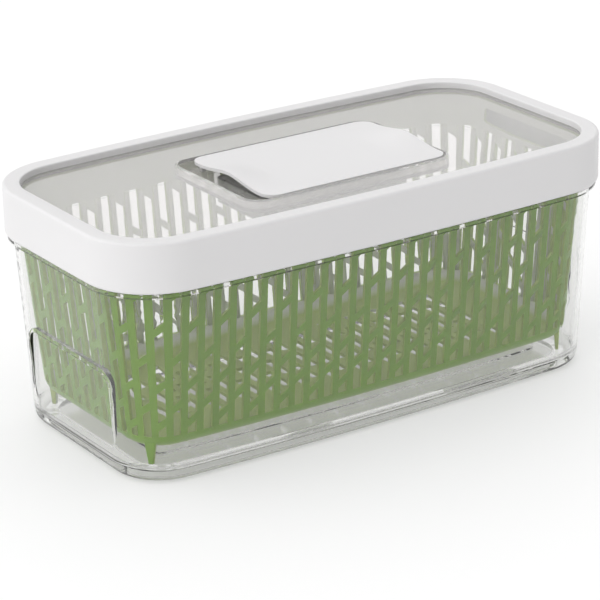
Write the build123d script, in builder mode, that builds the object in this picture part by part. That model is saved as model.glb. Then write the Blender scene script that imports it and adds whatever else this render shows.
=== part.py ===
from build123d import *
from math import cos, pi, radians, sin, tan
import os

# Produce keeper: a clear box with a slotted basket inside and a vented lid on top.
# Millimetres. X runs along the length, Y to the back and Z up. The origin is the
# middle of the underside, on the surface that the box stands on.

# How far cutting shapes run past the face that they cut
cut_margin = 1.0

# Plan outline, shared by the box, the basket and the lid
keeper_length = 350.0
end_width = 168.4
side_bow = 4.8
plan_corner_radius = 44.0

# Heights
keeper_height = 148.5
lid_height = 30.0

# Container
container_top = 139.5
container_wall = 2.4
container_draft = 3.25
container_rim_inset = 4.7
container_bottom_radius = 8.0
container_inner_radius = 6.0
floor_top = 7.0
foot_ring_height = 4.0
foot_ring_width = 6.0
foot_ring_slope = 1.0
plateau_height = 1.2
plateau_inset = 38.0
flange_gap = 0.5
flange_height = 2.5
flange_inset = 1.4

# Grip pocket in each end of the container
grip_width = 91.0
grip_top = 62.5
grip_bottom = 9.0
grip_corner_radius = 8.0
grip_plane_inset = 10.4

# Basket
basket_wall = 2.0
basket_draft = 5.3
basket_top_gap = 0.8
basket_top_inset = 8.6
basket_floor_height = 10.0
basket_bottom_radius = 12.0
bead_height = 2.2
bead_width = 1.9

# Slots of the basket: columns between ribs, broken by slanted bars
slot_pitch = 10.2
slot_width = 5.8
bar_height = 5.0
bar_slant = 35.0
slot_field_top = 119.5
slot_field_bottom = 26.0
bar_steps = 6.8
first_bar_step = 0.2
bar_closing_power = 1.7
shortest_slot = 3.0
slots_per_corner = 5

# Slots in the basket's floor
floor_slot_length = 24.0
floor_slot_gap = 7.0
floor_slot_rows = 3

# Hand-hold in each end of the basket
handhold_width = 84.0
handhold_height = 9.0
handhold_dip = 2.0
handhold_below_top = 5.0
handhold_round = 2.5

# Feet of the basket
basket_foot_setback = 29.0
basket_foot_width = 8.0
basket_foot_thickness = 5.0
basket_foot_tip = 3.0
basket_foot_round = 1.2
basket_foot_root = 8.0

# Lid frame
frame_wall = 2.6
frame_top_thickness = 2.5
frame_top_width = 10.3
frame_lip = 2.2
frame_top_round = 1.8
frame_bottom_round = 2.0
frame_inner_round = 0.8

# Lid window
window_recess = 4.0
window_thickness = 2.5
skirt_height = 2.6
skirt_wall = 2.0
skirt_clearance = 0.6

# Well in the window
well_length = 140.5
well_width = 91.0
well_depth = 7.0
well_wall = 2.0
well_centre = 4.0
well_corner_radius = 11.0

# Seal between lid and container
seal_clearance = 0.25
seal_bead_height = 0.9
seal_bead_inset = 0.7

# Vent cover
cover_length = 128.0
cover_width = 87.0
cover_corner_radius = 9.0
cover_above_window = 0.3
cover_thickness = 1.9
cover_end_gap = 1.25
vent_travel = 10.0
lip_rise = 3.4
lip_width = 66.0
lip_depth = 26.0
lip_steps = 4
riser_setback = 12.0
riser_inset = 2.4
riser_wall = 1.8
riser_height = 3.0
cover_foot_size = 3.0
cover_foot_inset = 6.0
cover_foot_gap = 0.2

# Clip legs, which hold the cover in the well
leg_x = 34.0
leg_y = 36.0
leg_width = 6.0
leg_thickness = 2.0
leg_clearance = 0.4
hook_reach = 1.4
hook_height = 1.8
hook_gap = 0.3

# Vent slots and shutter
vent_slot_width = 8.0
vent_slot_length = 38.0
vent_slot_count = 4
shutter_length = 100.0
shutter_width = 60.0
shutter_thickness = 1.4
shutter_gap = 0.2
shutter_corner_radius = 4.0
shutter_peg_x = 44.0
shutter_peg_y = 25.0
shutter_peg_radius = 1.6
shutter_peg_clearance = 0.1

# Filter holder, door and sachet
holder_length = 104.0
holder_width = 52.0
holder_wall = 1.8
holder_height = 13.0
holder_corner_radius = 4.0
holder_slot_width = 4.0
holder_slot_pitch = 9.0
holder_slot_height = 6.5
holder_slots_long = 9
holder_slots_short = 4
door_thickness = 1.8
door_gap = 0.3
door_slot_width = 4.0
door_slot_pitch = 9.0
door_slot_length = 34.0
door_slot_count = 9
door_tab_length = 16.0
door_tab_reach = 3.5
door_tab_radius = 2.5
hinge_offset = 3.2
hinge_pin_radius = 1.2
hinge_running_clearance = 0.05
hinge_knuckle_radius = 2.3
hinge_span = 70.0
hinge_lug_thickness = 2.6
hinge_side_gap = 0.3
lug_height = 7.0
sachet_length = 92.0
sachet_width = 42.0
sachet_thickness = 8.0
sachet_corner_radius = 8.0
sachet_edge_radius = 3.6
sachet_gap = 0.5

# Values that follow from the driving dimensions
half_length = keeper_length / 2
half_end_width = end_width / 2
lid_bottom = keeper_height - lid_height
window_top = keeper_height - window_recess
window_bottom = window_top - window_thickness
well_floor_top = window_top - well_depth
well_floor_bottom = well_floor_top - well_wall
basket_top = container_top - basket_top_gap
basket_bottom = floor_top + basket_floor_height
cover_top = window_top + cover_above_window
cover_bottom = cover_top - cover_thickness
cover_centre = well_centre + (well_length - cover_length) / 2 - cover_end_gap
holder_bottom = well_floor_bottom - holder_height
hinge_y = holder_width / 2 + hinge_offset
hinge_z = holder_bottom - door_gap - door_thickness / 2

os.makedirs("parts", exist_ok=True)


def outline(inset):
    """The plan outline drawn in by inset: bowed long sides, straight ends, round corners."""
    x = half_length - inset
    y = half_end_width - inset
    with BuildSketch() as plan:
        with BuildLine():
            ThreePointArc((-x, -y), (0, -y - side_bow), (x, -y))
            Line((x, -y), (x, y))
            ThreePointArc((x, y), (0, y + side_bow), (-x, y))
            Line((-x, y), (-x, -y))
        make_face()
        fillet(plan.vertices(), radius=plan_corner_radius - inset)
    return plan.sketch


def container_inset(height):
    """How far the container's outer wall lies inside the lid's outline at a height."""
    return container_rim_inset + (lid_bottom - height) * tan(radians(container_draft))


def basket_inset(height):
    """How far the basket's outer wall lies inside the lid's outline at a height."""
    return basket_top_inset + (basket_top - height) * tan(radians(basket_draft))


# Grip pocket
def grip_shape(margin):
    """Upright pocket outline with round upper corners, as seen from the end."""
    with BuildSketch() as shape:
        with Locations((0, (grip_top + grip_bottom) / 2 + margin / 2)):
            Rectangle(grip_width + 2 * margin, grip_top - grip_bottom + margin)
        fillet(shape.vertices().group_by(Axis.Y)[-1], radius=grip_corner_radius + margin)
    return shape.sketch


# Container
# The cavity has the draft of the outer wall, and steps in behind the grip pockets.
with BuildPart() as cavity:
    for height in (floor_top, container_top + cut_margin):
        with BuildSketch(Plane.XY.offset(height)):
            add(outline(container_inset(height) + container_wall))
    loft(ruled=True)
    fillet(cavity.edges().group_by(Axis.Z)[0], radius=container_inner_radius)
    for side in (-1, 1):
        end = Plane.YZ.offset(side * (half_length - grip_plane_inset - container_wall))
        with BuildSketch(end):
            add(grip_shape(container_wall))
        extrude(amount=side * grip_plane_inset, mode=Mode.SUBTRACT)

with BuildPart() as container:
    for height in (0, container_top):
        with BuildSketch(Plane.XY.offset(height)):
            add(outline(container_inset(height)))
    loft(ruled=True)
    fillet(container.edges().group_by(Axis.Z)[0], radius=container_bottom_radius)
    with BuildSketch(Plane.XY.offset(lid_bottom - flange_gap - flange_height)):
        add(outline(flange_inset))
    extrude(amount=flange_height)
    add(cavity.part, mode=Mode.SUBTRACT)
    for side in (-1, 1):
        with BuildSketch(Plane.YZ.offset(side * (half_length - grip_plane_inset))):
            add(grip_shape(0))
        extrude(amount=side * grip_plane_inset, mode=Mode.SUBTRACT)
    # The underside is hollow inside a foot ring
    ring_inset = container_inset(0) + container_bottom_radius + foot_ring_width
    with BuildSketch(Plane.XY):
        add(outline(ring_inset))
    with BuildSketch(Plane.XY.offset(foot_ring_height)):
        add(outline(ring_inset + foot_ring_slope))
    loft(ruled=True, mode=Mode.SUBTRACT)
    # A low plateau on the floor
    with BuildSketch(Plane.XY.offset(floor_top)):
        add(outline(plateau_inset))
    extrude(amount=plateau_height)
container.part.label = "container"
export_step(container.part, "parts/container.step")


# Basket slots
def bar_level(step):
    """Height of the middle of a slanted bar: the steps close up towards the bottom."""
    share = 1 - (1 - (step + first_bar_step) / bar_steps) ** bar_closing_power
    return slot_field_top - share * (slot_field_top - slot_field_bottom)


def slot_spans(column):
    """Lower and upper ends of the slots in a column, whose bars sit between its neighbours'."""
    first = 1 - column % 2
    bars = [bar_level(step) for step in range(first, int(bar_steps), 2)]
    uppers = [slot_field_top] + [bar - bar_height / 2 for bar in bars]
    lowers = [bar + bar_height / 2 for bar in bars] + [slot_field_bottom]
    return [(low, high) for low, high in zip(lowers, uppers) if high - low > shortest_slot]


def slot_column(centre, column, widths):
    """The slots of one column, with slanted ends where a bar crosses it."""
    slots = []
    for low, high in slot_spans(column):
        ends = []
        for level, straight in ((low, low == slot_field_bottom), (high, high == slot_field_top)):
            half = widths(level) / 2
            rise = 0 if straight else half * tan(radians(bar_slant))
            ends.append(((centre - half, level - rise), (centre + half, level + rise)))
        with BuildSketch() as slot:
            with BuildLine():
                Polyline(ends[0][0], ends[0][1], ends[1][1], ends[1][0], close=True)
            make_face()
        slots.append(slot.face())
    return slots


def straight_width(level):
    """Slots in a straight wall keep their width."""
    return slot_width


def corner_width(level):
    """Slots in a corner narrow towards the bottom, as the corner's radius does."""
    radius = plan_corner_radius - basket_inset(level)
    return slot_width * radius / (plan_corner_radius - basket_inset(slot_field_top))


def columns_in(run):
    """An even number of columns in a straight run, so that the pattern closes on itself."""
    return 2 * round(run / (2 * slot_pitch))


def slot_row(run, columns, first):
    """The slots of a straight wall: columns spread evenly over its run."""
    slots = []
    for column in range(columns):
        centre = (column - (columns - 1) / 2) * run / columns
        slots += slot_column(centre, first + column, straight_width)
    return slots


def wall_plane(x, y, angle):
    """An upright plane at a point that faces outwards: 0 degrees faces the front."""
    turn = radians(angle)
    return Plane(origin=(x, y, 0), x_dir=(cos(turn), sin(turn), 0), z_dir=(sin(turn), -cos(turn), 0))


# Basket
corner_x = half_length - plan_corner_radius
corner_y = half_end_width - plan_corner_radius
front_columns = columns_in(2 * corner_x)
end_columns = columns_in(2 * corner_y)
second_corner = front_columns + slots_per_corner + end_columns

with BuildPart() as basket_hollow:
    for height in (basket_bottom + basket_wall, basket_top + cut_margin):
        with BuildSketch(Plane.XY.offset(height)):
            add(outline(basket_inset(height) + basket_wall))
    loft(ruled=True)
    fillet(basket_hollow.edges().group_by(Axis.Z)[0], radius=basket_bottom_radius - basket_wall)

with BuildPart() as basket:
    for height in (basket_bottom, basket_top):
        with BuildSketch(Plane.XY.offset(height)):
            add(outline(basket_inset(height)))
    loft(ruled=True)
    fillet(basket.edges().group_by(Axis.Z)[0], radius=basket_bottom_radius)
    with BuildSketch(Plane.XY.offset(basket_top - bead_height)):
        add(outline(basket_inset(basket_top) - bead_width))
    extrude(amount=bead_height)
    # Tapered feet at the corners, set across the diagonal
    for side_x in (-1, 1):
        for side_y in (-1, 1):
            foot = Location(
                (
                    side_x * (half_length - basket_foot_setback),
                    side_y * (half_end_width - basket_foot_setback),
                    0,
                ),
                (0, 0, -45 * side_x * side_y),
            )
            with BuildSketch(Plane.XY.offset(floor_top)):
                with Locations(foot):
                    RectangleRounded(basket_foot_tip, basket_foot_tip, basket_foot_round)
            with BuildSketch(Plane.XY.offset(basket_bottom + basket_foot_root)):
                with Locations(foot):
                    RectangleRounded(basket_foot_width, basket_foot_thickness, basket_foot_round)
            loft()
    add(basket_hollow.part, mode=Mode.SUBTRACT)
    # Hand-holds under the bead
    handhold_top = basket_top - handhold_below_top
    handhold_low = handhold_top - handhold_height
    for side in (-1, 1):
        with BuildSketch(Plane.YZ.offset(side * corner_x)) as handhold:
            with BuildLine():
                half = handhold_width / 2
                Line((half, handhold_low), (half, handhold_top))
                Line((half, handhold_top), (-half, handhold_top))
                Line((-half, handhold_top), (-half, handhold_low))
                ThreePointArc((-half, handhold_low), (0, handhold_low - handhold_dip), (half, handhold_low))
            make_face()
            fillet(handhold.vertices(), radius=handhold_round)
        extrude(amount=side * plan_corner_radius, mode=Mode.SUBTRACT)
    # Slots round the wall: a long side, a corner, an end and a corner, then the same turned by half
    for half_turn, sign in ((0, 1), (180, -1)):
        for quarter, first in ((0, front_columns), (90, second_corner)):
            y = -sign * corner_y if quarter == 0 else sign * corner_y
            for column in range(slots_per_corner):
                angle = half_turn + quarter + (column + 0.5) * 90 / slots_per_corner
                with BuildSketch(wall_plane(sign * corner_x, y, angle)):
                    add(slot_column(0, first + column, corner_width))
                extrude(amount=plan_corner_radius, mode=Mode.SUBTRACT, clean=False)
        with BuildSketch(wall_plane(sign * corner_x, 0, half_turn + 90)):
            add(slot_row(2 * corner_y, end_columns, front_columns + slots_per_corner))
        extrude(amount=plan_corner_radius, mode=Mode.SUBTRACT, clean=False)
        with BuildSketch(wall_plane(0, -sign * corner_y, half_turn)):
            add(slot_row(2 * corner_x, front_columns, 0))
        extrude(amount=plan_corner_radius + side_bow, mode=Mode.SUBTRACT, clean=False)
    # Slots in the floor, staggered from column to column
    floor_step = floor_slot_length + floor_slot_gap
    with BuildSketch(Plane.XY.offset(basket_bottom)):
        places = []
        for column in range(1, front_columns - 1):
            rows = floor_slot_rows - column % 2
            x = (column - (front_columns - 1) / 2) * 2 * corner_x / front_columns
            places += [(x, (row - (rows - 1) / 2) * floor_step) for row in range(rows)]
        with Locations(places):
            Rectangle(slot_width, floor_slot_length)
    extrude(amount=basket_wall, mode=Mode.SUBTRACT, clean=False)
basket.part.label = "basket"
export_step(basket.part, "parts/basket.step")

# Lid frame: a channel that goes over the container's rim, with a lip on the window
with BuildPart() as lid_frame:
    with BuildSketch(Plane.XY.offset(lid_bottom)):
        add(outline(0))
    extrude(amount=lid_height)
    with BuildSketch(Plane.XY.offset(lid_bottom)):
        add(outline(frame_wall))
    extrude(amount=lid_height - frame_top_thickness, mode=Mode.SUBTRACT)
    with BuildSketch(Plane.XY.offset(window_top)):
        add(outline(frame_top_width - frame_lip))
    extrude(amount=window_recess)
    with BuildSketch(Plane.XY.offset(window_top)):
        add(outline(frame_top_width))
    extrude(amount=window_recess, mode=Mode.SUBTRACT)
    top_edges = lid_frame.faces().sort_by(Axis.Z)[-1].outer_wire().edges()
    fillet(top_edges, radius=frame_top_round)
    top_inner_edges = lid_frame.faces().sort_by(Axis.Z)[-1].inner_wires()[0].edges()
    fillet(top_inner_edges, radius=frame_inner_round)
    bottom_edges = lid_frame.faces().sort_by(Axis.Z)[0].outer_wire().edges()
    fillet(bottom_edges, radius=frame_bottom_round)
lid_frame.part.label = "lid_frame"
export_step(lid_frame.part, "parts/lid_frame.step")

# Lid window: a clear panel with a short skirt inside the container's rim, and the well
skirt_inset = container_inset(container_top) + container_wall + skirt_clearance
with BuildPart() as lid_window:
    with BuildSketch(Plane.XY.offset(window_bottom)):
        add(outline(frame_wall))
    extrude(amount=window_thickness)
    with BuildSketch(Plane.XY.offset(window_bottom)):
        add(outline(skirt_inset))
        add(outline(skirt_inset + skirt_wall), mode=Mode.SUBTRACT)
    extrude(amount=-skirt_height)
    with BuildSketch(Plane.XY.offset(well_floor_bottom)):
        with Locations((well_centre, 0)):
            RectangleRounded(
                well_length + 2 * well_wall,
                well_width + 2 * well_wall,
                well_corner_radius + well_wall,
            )
    extrude(until=Until.NEXT)
    with BuildSketch(Plane.XY.offset(well_floor_top)):
        with Locations((well_centre, 0)):
            RectangleRounded(well_length, well_width, well_corner_radius)
    extrude(amount=well_depth, mode=Mode.SUBTRACT)
    # Vent slots, and guide slots for the cover's clip legs
    with BuildSketch(Plane.XY.offset(well_floor_bottom)):
        with Locations((well_centre, 0)):
            with GridLocations(2 * vent_travel, 0, vent_slot_count, 1):
                SlotOverall(vent_slot_length, vent_slot_width, rotation=90)
        with Locations((cover_centre - vent_travel / 2, 0)):
            with GridLocations(2 * leg_x, 2 * leg_y, 2, 2):
                Rectangle(leg_width + vent_travel + 2 * leg_clearance, leg_thickness + 2 * leg_clearance)
    extrude(amount=well_wall, mode=Mode.SUBTRACT)
lid_window.part.label = "lid_window"
export_step(lid_window.part, "parts/lid_window.step")

# Seal: a soft ring under the window's edge, whose bead closes on the container's rim
seal_inner = skirt_inset - seal_clearance
with BuildPart() as lid_seal:
    with BuildSketch(Plane.XY.offset(container_top + seal_bead_height)):
        add(outline(frame_wall + seal_clearance))
        add(outline(seal_inner), mode=Mode.SUBTRACT)
    extrude(amount=window_bottom - container_top - seal_bead_height)
    with BuildSketch(Plane.XY.offset(container_top)):
        add(outline(frame_wall + seal_clearance + seal_bead_inset))
        add(outline(seal_inner - seal_bead_inset), mode=Mode.SUBTRACT)
    extrude(amount=seal_bead_height)
lid_seal.part.label = "lid_seal"
export_step(lid_seal.part, "parts/lid_seal.step")


# Vent cover
def cover_section(rise):
    """Cross-section of the cover's plate, with the finger lip raised in the middle."""
    half = cover_width / 2
    lip = lip_width / 2
    with BuildSketch() as section:
        with BuildLine():
            Line((-half, cover_top), (-lip, cover_top))
            Spline((-lip, cover_top), (0, cover_top + rise), (lip, cover_top), tangents=((1, 0), (1, 0)))
            Polyline((lip, cover_top), (half, cover_top), (half, cover_bottom), (lip, cover_bottom))
            Spline(
                (lip, cover_bottom),
                (0, cover_bottom + rise),
                (-lip, cover_bottom),
                tangents=((-1, 0), (-1, 0)),
            )
            Polyline((-lip, cover_bottom), (-half, cover_bottom), (-half, cover_top))
        make_face()
    return section.sketch


with BuildPart() as vent_cover:
    for side in (-1, 1):
        for step in range(lip_steps + 1):
            share = step / lip_steps
            reach = cover_length / 2 - lip_depth * share
            with BuildSketch(Plane.YZ.offset(cover_centre + side * reach)):
                add(cover_section(lip_rise * (1 + cos(pi * share)) / 2))
        loft()
    with BuildSketch(Plane.XY.offset(cover_bottom)):
        with Locations((cover_centre, 0)):
            Rectangle(cover_length - 2 * lip_depth, cover_width)
    extrude(amount=cover_thickness)
    with BuildSketch(Plane.XY.offset(cover_bottom)):
        with Locations((cover_centre, 0)):
            RectangleRounded(cover_length, cover_width, cover_corner_radius)
    extrude(amount=cover_thickness + lip_rise, mode=Mode.INTERSECT)
    # The riser under the plate is set back at the ends, which leaves room for a fingertip
    riser_length = cover_length - 2 * riser_setback
    riser_width = cover_width - 2 * riser_inset
    with BuildSketch(Plane.XY.offset(cover_bottom - riser_height)):
        with Locations((cover_centre, 0)):
            RectangleRounded(riser_length, riser_width, cover_corner_radius)
            RectangleRounded(
                riser_length - 2 * riser_wall,
                riser_width - 2 * riser_wall,
                cover_corner_radius - riser_wall,
                mode=Mode.SUBTRACT,
            )
    extrude(until=Until.NEXT)
    # Feet that slide on the well's floor
    with BuildSketch(Plane.XY.offset(well_floor_top + cover_foot_gap)):
        with Locations((cover_centre, 0)):
            with GridLocations(
                cover_length - 2 * cover_foot_inset,
                cover_width - 2 * cover_foot_inset,
                2,
                2,
            ):
                Rectangle(cover_foot_size, cover_foot_size)
    extrude(until=Until.NEXT)
    # Pegs that carry the shutter
    with BuildSketch(Plane.XY.offset(well_floor_top + shutter_gap)):
        with Locations((cover_centre, 0)):
            with GridLocations(2 * shutter_peg_x, 2 * shutter_peg_y, 2, 2):
                Circle(shutter_peg_radius)
    extrude(until=Until.NEXT)
    # Clip legs through the well's floor, with outward hooks below it
    hook_top = well_floor_bottom - hook_gap
    with BuildSketch(Plane.XY.offset(hook_top - hook_height)):
        with Locations((cover_centre, 0)):
            with GridLocations(2 * leg_x, 2 * leg_y, 2, 2):
                Rectangle(leg_width, leg_thickness)
    extrude(until=Until.NEXT)
    with BuildSketch(Plane.XY.offset(hook_top - hook_height)):
        with Locations((cover_centre, 0)):
            with GridLocations(2 * leg_x, 2 * leg_y + hook_reach, 2, 2):
                Rectangle(leg_width, leg_thickness + hook_reach)
    extrude(amount=hook_height)
vent_cover.part.label = "vent_cover"
export_step(vent_cover.part, "parts/vent_cover.step")

# Shutter: closes the vent slots at rest and uncovers them when the cover slides
with BuildPart() as vent_shutter:
    with BuildSketch(Plane.XY.offset(well_floor_top + shutter_gap)):
        with Locations((cover_centre, 0)):
            RectangleRounded(shutter_length, shutter_width, shutter_corner_radius)
            with GridLocations(2 * shutter_peg_x, 2 * shutter_peg_y, 2, 2):
                Circle(shutter_peg_radius + shutter_peg_clearance, mode=Mode.SUBTRACT)
        with Locations((well_centre + vent_travel, 0)):
            with GridLocations(2 * vent_travel, 0, vent_slot_count, 1):
                SlotOverall(vent_slot_length, vent_slot_width, rotation=90, mode=Mode.SUBTRACT)
    extrude(amount=shutter_thickness)
vent_shutter.part.label = "vent_shutter"
export_step(vent_shutter.part, "parts/vent_shutter.step")

# Filter holder: an open-work ring under the well, with lugs for the door's pins
lug_x = hinge_span / 2 + hinge_lug_thickness / 2
with BuildPart() as filter_holder:
    with BuildSketch(Plane.XY.offset(holder_bottom)):
        with Locations((well_centre, 0)):
            RectangleRounded(holder_length, holder_width, holder_corner_radius)
            RectangleRounded(
                holder_length - 2 * holder_wall,
                holder_width - 2 * holder_wall,
                holder_corner_radius - holder_wall,
                mode=Mode.SUBTRACT,
            )
    extrude(amount=holder_height)
    slot_middle = holder_bottom + holder_height / 2
    with BuildSketch(Plane.XZ.offset(-holder_width)):
        with Locations((well_centre, slot_middle)):
            with GridLocations(holder_slot_pitch, 0, holder_slots_long, 1):
                Rectangle(holder_slot_width, holder_slot_height)
    extrude(amount=2 * holder_width, mode=Mode.SUBTRACT)
    with BuildSketch(Plane.YZ.offset(well_centre - holder_length)):
        with Locations((0, slot_middle)):
            with GridLocations(holder_slot_pitch, 0, holder_slots_short, 1):
                Rectangle(holder_slot_width, holder_slot_height)
    extrude(amount=2 * holder_length, mode=Mode.SUBTRACT)
    for side in (-1, 1):
        start = well_centre + side * hinge_span / 2
        with BuildSketch(Plane.YZ.offset(start)):
            with Locations((hinge_y, hinge_z)):
                Circle(hinge_knuckle_radius)
            with Locations((hinge_y - hinge_knuckle_radius, hinge_z)):
                Rectangle(2 * hinge_knuckle_radius, lug_height, align=(Align.MIN, Align.MIN))
            with Locations((holder_width / 2, holder_bottom + door_gap)):
                Rectangle(hinge_offset, lug_height / 2, align=(Align.MIN, Align.MIN))
            with Locations((hinge_y, hinge_z)):
                Circle(hinge_pin_radius + hinge_running_clearance, mode=Mode.SUBTRACT)
        extrude(amount=side * hinge_lug_thickness)
filter_holder.part.label = "filter_holder"
export_step(filter_holder.part, "parts/filter_holder.step")

# Filter door: a slotted plate with a finger tab, a hinge barrel and two pins
with BuildPart() as filter_door:
    door_bottom = holder_bottom - door_gap - door_thickness
    with BuildSketch(Plane.XY.offset(door_bottom)):
        with Locations((well_centre, 0)):
            RectangleRounded(holder_length, holder_width, holder_corner_radius)
        with Locations((well_centre, -holder_width / 2)):
            RectangleRounded(door_tab_length, 2 * door_tab_reach, door_tab_radius)
        with Locations((well_centre, hinge_y)):
            Rectangle(hinge_span - 2 * hinge_side_gap, hinge_offset * 2, align=(Align.CENTER, Align.MAX))
        with Locations((well_centre, 0)):
            with GridLocations(door_slot_pitch, 0, door_slot_count, 1):
                SlotOverall(door_slot_length, door_slot_width, rotation=90, mode=Mode.SUBTRACT)
    extrude(amount=door_thickness)
    with BuildSketch(Plane.YZ.offset(well_centre - hinge_span / 2 + hinge_side_gap)):
        with Locations((hinge_y, hinge_z)):
            Circle(hinge_knuckle_radius)
    extrude(amount=hinge_span - 2 * hinge_side_gap)
    pin_reach = hinge_lug_thickness - hinge_side_gap
    with BuildSketch(Plane.YZ.offset(well_centre - hinge_span / 2 - pin_reach)):
        with Locations((hinge_y, hinge_z)):
            Circle(hinge_pin_radius)
    extrude(amount=hinge_span + 2 * pin_reach)
filter_door.part.label = "filter_door"
export_step(filter_door.part, "parts/filter_door.step")

# Filter sachet: a soft crowned pack that lies in the holder
with BuildPart() as filter_sachet:
    with BuildSketch(Plane.XY.offset(holder_bottom + sachet_gap)):
        with Locations((well_centre, 0)):
            RectangleRounded(sachet_length, sachet_width, sachet_corner_radius)
    extrude(amount=sachet_thickness)
    rims = filter_sachet.faces().sort_by(Axis.Z)
    fillet(rims[-1].edges() + rims[0].edges(), radius=min(sachet_edge_radius, sachet_thickness * 0.45))
filter_sachet.part.label = "filter_sachet"
export_step(filter_sachet.part, "parts/filter_sachet.step")
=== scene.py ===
# %% [markdown]
# # Produce keeper
#
# A clear box with a slotted green basket inside and a vented lid on top. The rigid pieces
# arrive as a fixed frame: their shapes and places are final. This lesson gives each of
# them its plastic, adds the basket's inner ribs, models the one soft piece as a mesh, and
# lights and frames the scene.

# %% Load the frame
import math

import bmesh
import bpy
from mathutils import Matrix, Vector, noise
from mathutils.bvhtree import BVHTree


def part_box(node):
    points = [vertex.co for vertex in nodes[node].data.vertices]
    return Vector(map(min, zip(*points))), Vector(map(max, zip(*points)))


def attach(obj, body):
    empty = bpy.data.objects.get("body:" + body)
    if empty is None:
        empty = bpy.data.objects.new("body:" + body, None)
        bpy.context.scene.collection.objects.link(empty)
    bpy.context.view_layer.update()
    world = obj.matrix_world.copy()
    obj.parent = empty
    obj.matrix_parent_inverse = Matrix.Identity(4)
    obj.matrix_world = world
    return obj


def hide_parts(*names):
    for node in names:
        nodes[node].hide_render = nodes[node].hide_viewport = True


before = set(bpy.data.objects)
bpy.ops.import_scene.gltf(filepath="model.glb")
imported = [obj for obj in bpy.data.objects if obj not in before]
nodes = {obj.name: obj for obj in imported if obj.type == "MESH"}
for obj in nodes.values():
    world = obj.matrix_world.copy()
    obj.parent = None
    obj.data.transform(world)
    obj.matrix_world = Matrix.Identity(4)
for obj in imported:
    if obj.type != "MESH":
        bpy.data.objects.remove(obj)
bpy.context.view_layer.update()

scene = bpy.context.scene
print("pieces in the frame:", ", ".join(sorted(nodes)))

# %% [markdown]
# ## The camera
#
# A product photo like this is taken from a good distance with a long lens, so that the
# box keeps its proportions. The camera stands to the front left, a little above the lid.
# A camera can be aimed with a constraint, but here its axes are worked out and written
# into its matrix, so that the slight roll of the picture can be set as well.

# %% Camera
camera_place = Vector((-0.86535, -1.31455, 0.66266))
camera_target = Vector((-0.00691, 0.0, 0.05732))
camera_roll = math.radians(-1.38)
focal_length = 167.75
sensor_width = 36.0

camera = bpy.data.objects.new("camera", bpy.data.cameras.new("camera"))
scene.collection.objects.link(camera)
camera.data.lens = focal_length
camera.data.sensor_width = sensor_width
back = (camera_place - camera_target).normalized()
right = Vector((0, 0, 1)).cross(back).normalized()
up = back.cross(right)
rolled_right = right * math.cos(camera_roll) + up * math.sin(camera_roll)
rolled_up = up * math.cos(camera_roll) - right * math.sin(camera_roll)
camera.matrix_world = Matrix.Translation(camera_place) @ Matrix(
    (rolled_right, rolled_up, back)
).transposed().to_4x4()
scene.camera = camera
print("camera distance in metres:", round((camera_place - camera_target).length, 3))

# %% [markdown]
# ## Small helpers for materials
#
# Each plastic below is one Principled shader with a few procedural nodes in front of it.
# Writing the nodes out by hand each time would be long, so small helpers make a material,
# add a node with its settings, join two sockets and mix two colours.


# %% Helpers for nodes
def new_material(name):
    """A material, with its node tree and its Principled shader."""
    material = bpy.data.materials.new(name)
    material.use_nodes = True
    tree = material.node_tree
    shader = next(node for node in tree.nodes if node.type == "BSDF_PRINCIPLED")
    return material, tree, shader


def add_node(tree, kind, **settings):
    """A node of that kind: its own properties are set by name, its inputs by socket name."""
    node = tree.nodes.new(kind)
    for name, value in settings.items():
        if hasattr(node, name):
            setattr(node, name, value)
        else:
            node.inputs[name.replace("_", " ")].default_value = value
    return node


def join(tree, source, output, target, entry):
    """Joins an output socket to an input socket."""
    tree.links.new(source.outputs[output], target.inputs[entry])


def mix_colours(tree, factor, first, second):
    """Goes from one colour to another by a socket's value. Each is a colour or a socket."""
    mix = add_node(tree, "ShaderNodeMix", data_type="RGBA")
    tree.links.new(factor, mix.inputs[0])
    entries = [socket for socket in mix.inputs if socket.type == "RGBA"]
    for entry, colour in zip(entries, (first, second)):
        if isinstance(colour, tuple):
            entry.default_value = (*colour, 1)
        else:
            tree.links.new(colour, entry)
    return next(socket for socket in mix.outputs if socket.type == "RGBA")


print("helpers for nodes are ready")

# %% [markdown]
# ## Unevenness
#
# No moulded face is perfectly even. An image of scratches would need a file and a way to
# lay it over the piece. Noise in the piece's own coordinates needs neither, has no seams
# and moves with the piece. One noise varies the colour, one the gloss, and one the relief.


# %% Helpers for unevenness
def noise_at(tree, place, scale, detail):
    """Noise over a surface. The scale is in cells to the metre."""
    texture = add_node(tree, "ShaderNodeTexNoise", Scale=scale, Detail=detail)
    join(tree, place, "Object", texture, "Vector")
    return texture


def vary_gloss(tree, place, shader, smoothest, roughest, scale):
    """Lets the gloss vary over the surface, as on a piece that has been wiped and handled."""
    texture = noise_at(tree, place, scale, 2.0)
    ranged = add_node(tree, "ShaderNodeMapRange", To_Min=smoothest, To_Max=roughest)
    join(tree, texture, "Fac", ranged, "Value")
    join(tree, ranged, "Result", shader, "Roughness")


def add_relief(tree, place, shader, scale, depth, detail):
    """A fine relief. The depth is in metres."""
    texture = noise_at(tree, place, scale, detail)
    bump = add_node(tree, "ShaderNodeBump", Strength=1.0, Distance=depth)
    join(tree, texture, "Fac", bump, "Height")
    join(tree, bump, "Normal", shader, "Normal")


def uneven_material(name, tone, first, second, gloss, relief):
    """A material between two colours, with uneven gloss and a fine relief.

    tone is the scale and detail of the colour's noise. gloss is the smoothest and the
    roughest value and the scale. relief is the scale, the depth and the detail.
    """
    material, tree, shader = new_material(name)
    place = add_node(tree, "ShaderNodeTexCoord")
    patches = noise_at(tree, place, *tone)
    colour = mix_colours(tree, patches.outputs["Fac"], first, second)
    tree.links.new(colour, shader.inputs["Base Color"])
    vary_gloss(tree, place, shader, *gloss)
    add_relief(tree, place, shader, *relief)
    return material, shader


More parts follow.
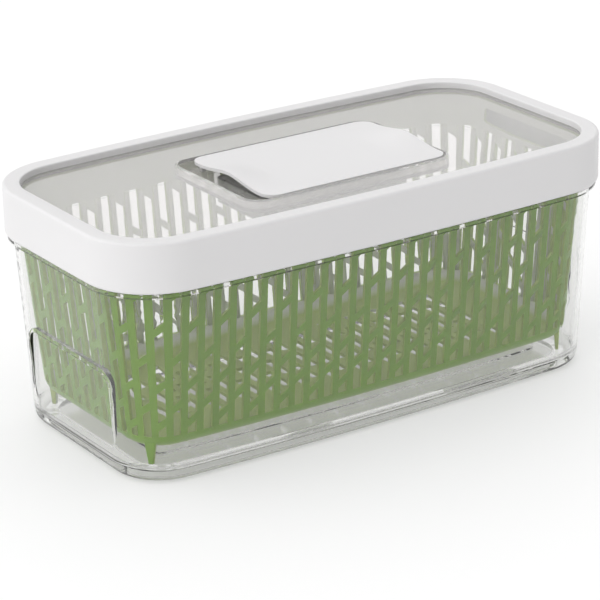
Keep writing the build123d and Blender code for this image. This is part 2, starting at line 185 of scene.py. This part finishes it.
def finish_node(name, material):
    """Gives a rigid piece its material in place of the plain one that it arrives with."""
    piece = nodes[name]
    piece.data.materials.clear()
    piece.data.materials.append(material)
    print(name, "has", material.name)


# %% [markdown]
# ## White plastic
#
# The lid's frame, the vent cover and the shutter under it are moulded in white plastic
# with a fine satin face. A flat white looks like paper, so the gloss varies a little in
# wide patches, and a very fine grain breaks up the highlights. The grain is far too small
# to see as dots. A little light passes into the plastic, as it does in real white
# mouldings, which keeps the edges soft.

# %% White plastic
acrylic_ior = 1.49


def white_plastic():
    material, shader = uneven_material(
        "white_satin_plastic",
        tone=(9.0, 2.0),
        first=(0.765, 0.757, 0.762),
        second=(0.795, 0.787, 0.792),
        gloss=(0.34, 0.46, 22.0),
        relief=(2600.0, 0.00002, 3.0),
    )
    shader.inputs["IOR"].default_value = acrylic_ior
    shader.inputs["Transmission Weight"].default_value = 0.16
    return material


white = white_plastic()
for name in ("lid_frame", "vent_cover", "vent_shutter"):
    finish_node(name, white)

# %% [markdown]
# ## Clear plastic
#
# The box and the window are clear and nearly colourless. The walls are real solids, so
# a refracting shader bends light at both faces as the real wall does. A thin alpha
# shader would be quicker, but its edges would lack the dark and bright lines that a
# thick clear wall shows. The window is a little cloudier than the box. A clear wall must
# not be tinted grey to calm what is behind it: that looks right from one side only.

# %% Clear plastic
absorbed_colour = (0.52, 0.53, 0.50, 1)
lighter_by = 0.01


def clear_plastic(name, tint, roughest, density, clearness):
    material, shader = uneven_material(
        name,
        tone=(7.0, 2.0),
        first=tint,
        second=tuple(min(1.0, part + lighter_by) for part in tint),
        gloss=(0.0, roughest, 40.0),
        relief=(55.0, 0.00003, 1.0),
    )
    shader.inputs["Transmission Weight"].default_value = clearness
    shader.inputs["IOR"].default_value = acrylic_ior
    tree = material.node_tree
    absorption = add_node(tree, "ShaderNodeVolumeAbsorption")
    absorption.inputs["Color"].default_value = absorbed_colour
    absorption.inputs["Density"].default_value = density
    output = next(node for node in tree.nodes if node.type == "OUTPUT_MATERIAL")
    join(tree, absorption, "Volume", output, "Volume")
    return material


box_plastic = clear_plastic(
    "clear_box_plastic", tint=(0.935, 0.935, 0.930), roughest=0.03, density=12.0, clearness=1.0
)
window_plastic = clear_plastic(
    "clear_window_plastic", tint=(0.985, 0.966, 0.966), roughest=0.04, density=6.0, clearness=0.82
)
finish_node("container", box_plastic)
finish_node("lid_window", window_plastic)

# %% [markdown]
# ## Green basket plastic
#
# The basket is green and lets some light through. The cut sides of its slots are painted
# lighter and a little yellower than the faces: a painted glow for light that runs inside the
# wall and comes out there. Its inner faces are painted nearly white, which is painted light:
# they look pale through the window, lit from above and veiled by the window's reflection.
# The outer faces keep the plastic's own green. The shader finds both from the shape. It
# works out which way is outwards at each point: a face that looks along the wall is the
# side of a slot, and one that looks inwards is an inner face.

# %% Where the basket's wall runs straight
corner_x = 0.131
corner_y = 0.0402
no_limit = 10
print("outwards is measured from a core of", 2 * corner_x, "by", 2 * corner_y, "metres")


# %% Which way a face of the basket looks
def outward_facing(tree, place):
    """1 on a face that looks straight out of the wall, and -1 on one that looks straight in."""
    low = add_node(tree, "ShaderNodeVectorMath", operation="MAXIMUM")
    low.inputs[1].default_value = (-corner_x, -corner_y, -no_limit)
    join(tree, place, "Object", low, 0)
    core = add_node(tree, "ShaderNodeVectorMath", operation="MINIMUM")
    core.inputs[1].default_value = (corner_x, corner_y, no_limit)
    join(tree, low, "Vector", core, 0)
    outwards = add_node(tree, "ShaderNodeVectorMath", operation="SUBTRACT")
    join(tree, place, "Object", outwards, 0)
    join(tree, core, "Vector", outwards, 1)
    unit = add_node(tree, "ShaderNodeVectorMath", operation="NORMALIZE")
    join(tree, outwards, "Vector", unit, 0)
    facing = add_node(tree, "ShaderNodeVectorMath", operation="DOT_PRODUCT")
    join(tree, unit, "Vector", facing, 0)
    join(tree, place, "Normal", facing, 1)
    return facing


def slot_sides(tree, facing):
    """1 on the sides of a slot, which get a painted glow, and 0 on the faces of the wall."""
    size = add_node(tree, "ShaderNodeMath", operation="ABSOLUTE")
    join(tree, facing, "Value", size, 0)
    side = add_node(tree, "ShaderNodeMapRange", From_Min=0.8, From_Max=0.3)
    join(tree, size, 0, side, "Value")
    return side.outputs["Result"]


def inner_faces(tree, facing):
    """1 on the inner faces of the wall, which get the painted light, and 0 on the outer faces."""
    inner = add_node(tree, "ShaderNodeMapRange", From_Min=0.1, From_Max=-0.5)
    join(tree, facing, "Value", inner, "Value")
    return inner.outputs["Result"]


# %% Green basket plastic
# Painted glow: the slots' cut sides are painted lighter and yellower for light that runs inside the
# wall and comes out there.
painted_slot_glow_colour = (0.62, 0.76, 0.24)


def basket_plastic():
    material, tree, shader = new_material("green_basket_plastic")
    place = add_node(tree, "ShaderNodeTexCoord")
    patches = noise_at(tree, place, 30.0, 4.0).outputs["Fac"]
    outer_face = mix_colours(tree, patches, (0.26, 0.50, 0.035), (0.31, 0.55, 0.055))
    # Painted light: the inner faces are painted nearly white for the light that falls on them through
    # the window and for the window's pale reflection.
    painted_light_inner_colour = mix_colours(tree, patches, (0.945, 0.960, 0.915), (0.965, 0.975, 0.940))
    facing = outward_facing(tree, place)
    side = slot_sides(tree, facing)
    face = mix_colours(tree, inner_faces(tree, facing), outer_face, painted_light_inner_colour)
    colour = mix_colours(tree, side, face, painted_slot_glow_colour)
    tree.links.new(colour, shader.inputs["Base Color"])
    vary_gloss(tree, place, shader, 0.28, 0.42, 60.0)
    add_relief(tree, place, shader, 900.0, 0.00002, 3.0)
    shader.inputs["Transmission Weight"].default_value = 0.24
    shader.inputs["IOR"].default_value = 1.46
    return material


basket_green = basket_plastic()
finish_node("basket", basket_green)

# %% [markdown]
# ## The basket's inner ribs
#
# Seen through the window, the slanted bars seem to lie recessed between upright ribs, like
# rungs. Such ribs stiffen a thin wall. Each rib could be drawn by hand, but its place
# follows from the pattern of the slots: a ray from the middle of the basket finds the
# wall at each height, and a narrow strip is laid along the points that it hits.

# %% Where the ribs stand
front_columns = 26
end_columns = 8
slots_per_corner = 5


def rib_lines():
    """Starting points and directions of the ribs, seen from above."""
    lines = []
    for side in (-1, 1):
        for k in range(front_columns + 1):
            x = (k / front_columns - 0.5) * 2 * corner_x
            lines.append((Vector((x, 0, 0)), Vector((0, side, 0))))
        for k in range(end_columns + 1):
            y = (k / end_columns - 0.5) * 2 * corner_y
            lines.append((Vector((side * corner_x, y, 0)), Vector((side, 0, 0))))
        for end in (-1, 1):
            for k in range(1, slots_per_corner):
                angle = math.radians(90 * k / slots_per_corner)
                direction = Vector((side * math.cos(angle), end * math.sin(angle), 0))
                lines.append((Vector((side * corner_x, end * corner_y, 0)), direction))
    return lines


print("inner ribs:", len(rib_lines()))


# %% Helpers for meshes
def mesh_from(made, name):
    """Turns finished mesh code into a mesh, and frees what it used."""
    mesh = bpy.data.meshes.new(name)
    made.to_mesh(mesh)
    made.free()
    return mesh


def add_object(name, mesh):
    """Puts a mesh into the scene as an object."""
    made = bpy.data.objects.new(name, mesh)
    scene.collection.objects.link(made)
    print(name, "has", len(mesh.polygons), "faces")
    return made


# %% The ribs' section
rib_low, rib_high = 0.0255, 0.1192
rib_steps = 12
rib_height = 0.0010
rib_width = 0.0038
rib_sink = 0.0003
rib_narrowing = 0.12
end_slope = 6
top_share_left = 0.2
shoulder_place = 0.8
shoulder_height = 0.7


def rib_section(hit, inwards, along, share):
    """Five points across a rib: sunk foot, shoulder, crown, shoulder, sunk foot."""
    half = rib_width / 2 * (1 - rib_narrowing * (1 - share))
    crown = rib_height * min(1.0, end_slope * share, end_slope * (1 - share) + top_share_left)
    profile = (
        (-1.0, -rib_sink),
        (-shoulder_place, shoulder_height * crown),
        (0.0, crown),
        (shoulder_place, shoulder_height * crown),
        (1.0, -rib_sink),
    )
    return [hit + along * half * across + inwards * out for across, out in profile]


print("a rib is", rib_width * 1000, "mm wide and", rib_height * 1000, "mm high")

# %% The ribs' mesh
basket_wall = BVHTree.FromObject(nodes["basket"], bpy.context.evaluated_depsgraph_get())


def ribs_mesh():
    """All the ribs as strips along the points where the rays meet the wall."""
    made = bmesh.new()
    for start, direction in rib_lines():
        along = Vector((-direction.y, direction.x, 0))
        rings = []
        for step in range(rib_steps + 1):
            share = step / rib_steps
            level = rib_low + share * (rib_high - rib_low)
            hit = basket_wall.ray_cast(Vector((start.x, start.y, level)), direction)[0]
            if hit is None:
                continue
            section = rib_section(hit, -direction, along, share)
            rings.append([made.verts.new(point) for point in section])
        for low, high in zip(rings, rings[1:]):
            for k in range(len(low)):
                following = (k + 1) % len(low)
                made.faces.new((low[k], low[following], high[following], high[k]))
        made.faces.new(rings[0][::-1])
        made.faces.new(rings[-1])
    bmesh.ops.recalc_face_normals(made, faces=made.faces)
    return mesh_from(made, "basket_ribs")


# A rib's long faces have four corners and are smooth. Its two ends have five and stay flat.
basket_ribs = add_object("basket_ribs", ribs_mesh())
for polygon in basket_ribs.data.polygons:
    polygon.use_smooth = len(polygon.vertices) == 4
basket_ribs.data.materials.append(basket_green)
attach(basket_ribs, "basket")

# %% [markdown]
# ## Seal and filter plastics
#
# The seal is a soft, slightly clouded rubber, and the filter holder and its door are
# moulded in an almost clear plastic. They sit under the lid and read mostly as pale
# shapes, but they still get their own gloss and grain.


# %% Seal and filter plastics
def seal_rubber():
    material, shader = uneven_material(
        "seal_rubber",
        tone=(60.0, 2.0),
        first=(0.86, 0.85, 0.86),
        second=(0.90, 0.89, 0.90),
        gloss=(0.5, 0.65, 90.0),
        relief=(1500.0, 0.00003, 3.0),
    )
    shader.inputs["Transmission Weight"].default_value = 0.25
    return material


def filter_plastic():
    material, shader = uneven_material(
        "filter_plastic",
        tone=(40.0, 2.0),
        first=(0.78, 0.80, 0.79),
        second=(0.84, 0.85, 0.84),
        gloss=(0.22, 0.36, 70.0),
        relief=(1200.0, 0.00002, 3.0),
    )
    shader.inputs["Transmission Weight"].default_value = 0.5
    shader.inputs["IOR"].default_value = acrylic_ior
    return material


finish_node("lid_seal", seal_rubber())
cloudy = filter_plastic()
for name in ("filter_holder", "filter_door"):
    finish_node(name, cloudy)

# %% [markdown]
# ## The filter sachet
#
# The sachet is a small fleece pack of granules, sealed along its edges. It is the only
# soft piece, so it is a mesh of its own. A cloth simulation could puff it up, but the
# pack is only a few millimetres thick: two skins over a grid, swollen by a formula and
# dented by noise where granules press through, give the same form at once.

# %% The sachet's measures
sachet_low, sachet_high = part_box("filter_sachet")
sachet_middle = (sachet_low + sachet_high) / 2
sachet_size = sachet_high - sachet_low
seal_width = 0.0035
seal_half_thickness = 0.0004
granule_size = 0.0022
granule_depth = 0.00030
crease_depth = 0.0004
columns, rows = 92, 44
print("sachet in mm:", [round(part * 1000, 1) for part in sachet_size])

# %% How far the sachet swells
swell_reach_x = 0.22
swell_reach_y = 0.38


def swell(u, v):
    """Share of the full height at a point of the sachet: 0 on the sealed edge, 1 inside."""
    edge_x = (1 - abs(u)) * sachet_size.x / 2 - seal_width
    edge_y = (1 - abs(v)) * sachet_size.y / 2 - seal_width
    if min(edge_x, edge_y) <= 0:
        return 0.0
    rise_x = min(1.0, edge_x / (sachet_size.x * swell_reach_x))
    rise_y = min(1.0, edge_y / (sachet_size.y * swell_reach_y))
    return math.sqrt(math.sin(rise_x * math.pi / 2) * math.sin(rise_y * math.pi / 2))


print("height at the middle of the sachet:", swell(0, 0))

# %% A point of the sachet's skin
granule_seed = 7
crease_seed = 3
creases_x, creases_y = 5, 3
edge_pull = 0.035


def sachet_point(u, v, face):
    """A point of the upper face (1) or the lower face (-1)."""
    height = swell(u, v)
    half = sachet_size.z / 2 - granule_depth - crease_depth
    place = Vector((u * sachet_size.x / 2, v * sachet_size.y / 2, 0))
    bumps = noise.noise(place / granule_size + Vector((0, 0, face * granule_seed)))
    creases = noise.noise(Vector((u * creases_x, v * creases_y, face * crease_seed)))
    level = seal_half_thickness + height * (half - seal_half_thickness)
    level += height * (bumps * granule_depth + creases * crease_depth)
    pull = 1 - edge_pull * height * (abs(u) * abs(v))
    return sachet_middle + Vector((place.x * pull, place.y * pull, face * level))


print("granules are", granule_size * 1000, "mm across")


# %% The sachet's mesh
def skin_grid(made, face):
    """The points of one skin, row by row, with the faces between them."""
    grid = []
    for j in range(rows + 1):
        v = 2 * j / rows - 1
        line = [made.verts.new(sachet_point(2 * i / columns - 1, v, face)) for i in range(columns + 1)]
        grid.append(line)
    for j in range(rows):
        for i in range(columns):
            corners = [grid[j][i], grid[j][i + 1], grid[j + 1][i + 1], grid[j + 1][i]]
            made.faces.new(corners if face > 0 else corners[::-1])
    return grid


def skin_edge(grid):
    """The points round the edge of a skin, in order."""
    edge = [grid[0][i] for i in range(columns)]
    edge += [grid[j][columns] for j in range(rows)]
    edge += [grid[rows][i] for i in range(columns, 0, -1)]
    edge += [grid[j][0] for j in range(rows, 0, -1)]
    return edge


def sachet_mesh():
    """Two swollen skins joined round the sealed edge."""
    made = bmesh.new()
    below = skin_edge(skin_grid(made, -1))
    above = skin_edge(skin_grid(made, 1))
    for k in range(len(below)):
        following = (k + 1) % len(below)
        made.faces.new((below[k], below[following], above[following], above[k]))
    return mesh_from(made, "sachet")


sachet = add_object("sachet", sachet_mesh())
for polygon in sachet.data.polygons:
    polygon.use_smooth = True

# %% [markdown]
# ## Fleece
#
# The sachet's skin is a white spun fleece: short fibres pressed together with no weave.
# Single fibres are too fine to see from here, so noise with many octaves stands for
# the mat, in its colour and in its relief. A little sheen catches light at the edges.


# %% Fleece
def sachet_fleece():
    material, shader = uneven_material(
        "sachet_fleece",
        tone=(700.0, 5.0),
        first=(0.70, 0.70, 0.67),
        second=(0.86, 0.86, 0.84),
        gloss=(0.75, 0.92, 400.0),
        relief=(1800.0, 0.00012, 5.0),
    )
    shader.inputs["Sheen Weight"].default_value = 0.25
    shader.inputs["Sheen Roughness"].default_value = 0.5
    return material


sachet.data.materials.append(sachet_fleece())
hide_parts("filter_sachet")
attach(sachet, "lid")
print("the sachet is fleece")

# %% [markdown]
# ## Floor
#
# The keeper stands on a plain white sweep. One wide sheet is enough, because the camera
# looks down and never sees its edge. It glows a little, as a lit white backdrop does, so
# that it stays white where the keeper's shadow is faint. Its gloss varies slightly.

# %% Floor
floor_half = 30.0
floor_corners = [(-floor_half, -floor_half, 0), (floor_half, -floor_half, 0)]
floor_corners += [(floor_half, floor_half, 0), (-floor_half, floor_half, 0)]
floor_mesh = bpy.data.meshes.new("floor")
floor_mesh.from_pydata(floor_corners, [], [(0, 1, 2, 3)])
floor = add_object("floor", floor_mesh)

# %% The floor's finish
floor_material, floor_tree, floor_shader = new_material("white_sweep")
vary_gloss(floor_tree, add_node(floor_tree, "ShaderNodeTexCoord"), floor_shader, 0.55, 0.65, 12.0)
floor_shader.inputs["Base Color"].default_value = (0.52, 0.52, 0.52, 1)
floor_shader.inputs["Emission Color"].default_value = (1, 1, 1, 1)
floor_shader.inputs["Emission Strength"].default_value = 0.42
floor_shader.inputs["Specular IOR Level"].default_value = 0.15
floor.data.materials.append(floor_material)
print("the floor has", floor_material.name)

# %% [markdown]
# ## Light
#
# A clear box is lit by what surrounds it. Lamps would leave hard spots on it, so the sky
# here is a studio tent without lamps: bright above and to the left, a little dimmer
# behind, and dim in front, which shades the front of the lid.

# %% The tent
above_strength = 1.24
back_strength = 0.96
front_strength = 0.40
left_strength = 1.85

world = bpy.data.worlds.new("studio_tent")
scene.world = world
world.use_nodes = True
tent = world.node_tree
background = next(node for node in tent.nodes if node.type == "BACKGROUND")
direction_parts = add_node(tent, "ShaderNodeSeparateXYZ")
join(tent, add_node(tent, "ShaderNodeTexCoord"), "Generated", direction_parts, "Vector")


def towards(part, none_at, all_at):
    """Goes smoothly from 0 to 1 as that part of the direction goes from one value to the other."""
    smooth = add_node(tent, "ShaderNodeMapRange", From_Min=none_at, From_Max=all_at)
    smooth.interpolation_type = "SMOOTHSTEP"
    join(tent, direction_parts, part, smooth, "Value")
    return smooth.outputs["Result"]


def grey(strength):
    """A neutral light of that strength."""
    return (strength, strength, strength)


sides = mix_colours(tent, towards("Y", -0.6, 0.4), grey(front_strength), grey(back_strength))
left = mix_colours(tent, towards("X", 0.1, -0.9), sides, grey(left_strength))
over = mix_colours(tent, towards("Z", 0.3, 0.95), left, grey(above_strength))
tent.links.new(over, background.inputs["Color"])
scene.view_settings.view_transform = "Standard"
print("strengths above and behind:", above_strength, back_strength)
print("strengths in front and on the left:", front_strength, left_strength)

# %% [markdown]
# ## Bounces
#
# A ray that looks through the window, the basket's wall and the box crosses two faces of
# each before it meets anything solid, and as many again on its way out. With a low limit
# it ends inside and leaves a dark patch, so the limit is raised.

# %% Bounces
scene.cycles.max_bounces = 32
scene.cycles.transmission_bounces = 32
scene.cycles.diffuse_bounces = 8
scene.cycles.glossy_bounces = 12
print("bounces through clear plastic:", scene.cycles.transmission_bounces)
